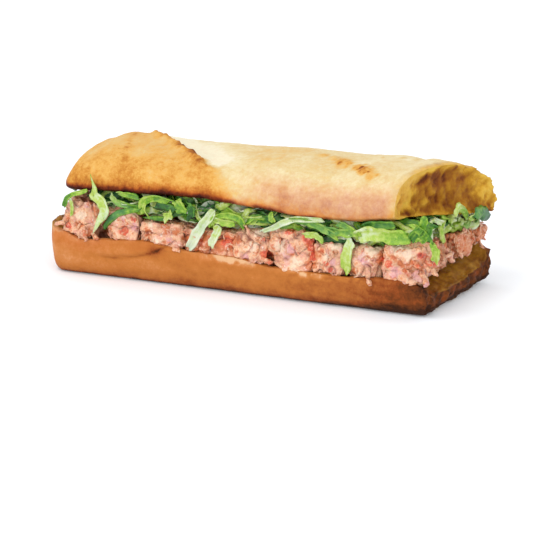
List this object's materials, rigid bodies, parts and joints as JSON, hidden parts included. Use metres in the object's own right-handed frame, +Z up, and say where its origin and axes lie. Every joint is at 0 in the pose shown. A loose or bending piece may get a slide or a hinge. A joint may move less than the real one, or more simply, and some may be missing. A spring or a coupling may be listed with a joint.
{
  "type": "lobster roll",
  "caption": "Split length of crusty bread filled with lobster chunks under shredded lettuce, one natural end and one torn end, lying flat.",
  "frame": {"origin": "on the table, under the middle of the whole roll's box", "axes": "+X along the roll towards the torn end, -Y towards the open front, +Z up"},
  "size_m": [0.2154, 0.0766, 0.0694],
  "materials": {
    "crust_top": "golden baked crust, dull",
    "crust_bottom": "brown baked crust, dull",
    "lobster": "moist cooked meat, pink with orange red skin",
    "lettuce": "fresh leaf, light gloss"
  },
  "bodies": {
    "root": {"bun_bottom": "crust_bottom", "bun_top": "crust_top", "lettuce": "lettuce", "lettuce_broad": "lettuce", "lettuce_curly_right": "lettuce", "lettuce_dark_curl": "lettuce", "lettuce_dark_left": "lettuce", "lettuce_long": "lettuce", "lettuce_pale_curl": "lettuce", "lettuce_pale_left": "lettuce", "lettuce_stub": "lettuce", "lettuce_tip": "lettuce", "lettuce_white_rib": "lettuce", "lettuce_yellow_stub": "lettuce", "lobster_back_1": "lobster", "lobster_back_2": "lobster", "lobster_back_3": "lobster", "lobster_back_4": "lobster", "lobster_back_5": "lobster", "lobster_back_6": "lobster", "lobster_back_7": "lobster", "lobster_end_1": "lobster", "lobster_end_2": "lobster", "lobster_end_3": "lobster", "lobster_filling": "lobster", "lobster_front_1": "lobster", "lobster_front_10": "lobster", "lobster_front_2": "lobster", "lobster_front_3": "lobster", "lobster_front_4": "lobster", "lobster_front_5": "lobster", "lobster_front_6": "lobster", "lobster_front_7": "lobster", "lobster_front_8": "lobster", "lobster_front_9": "lobster", "lobster_left_1": "lobster", "lobster_left_2": "lobster"}
  },
  "joints": []
}
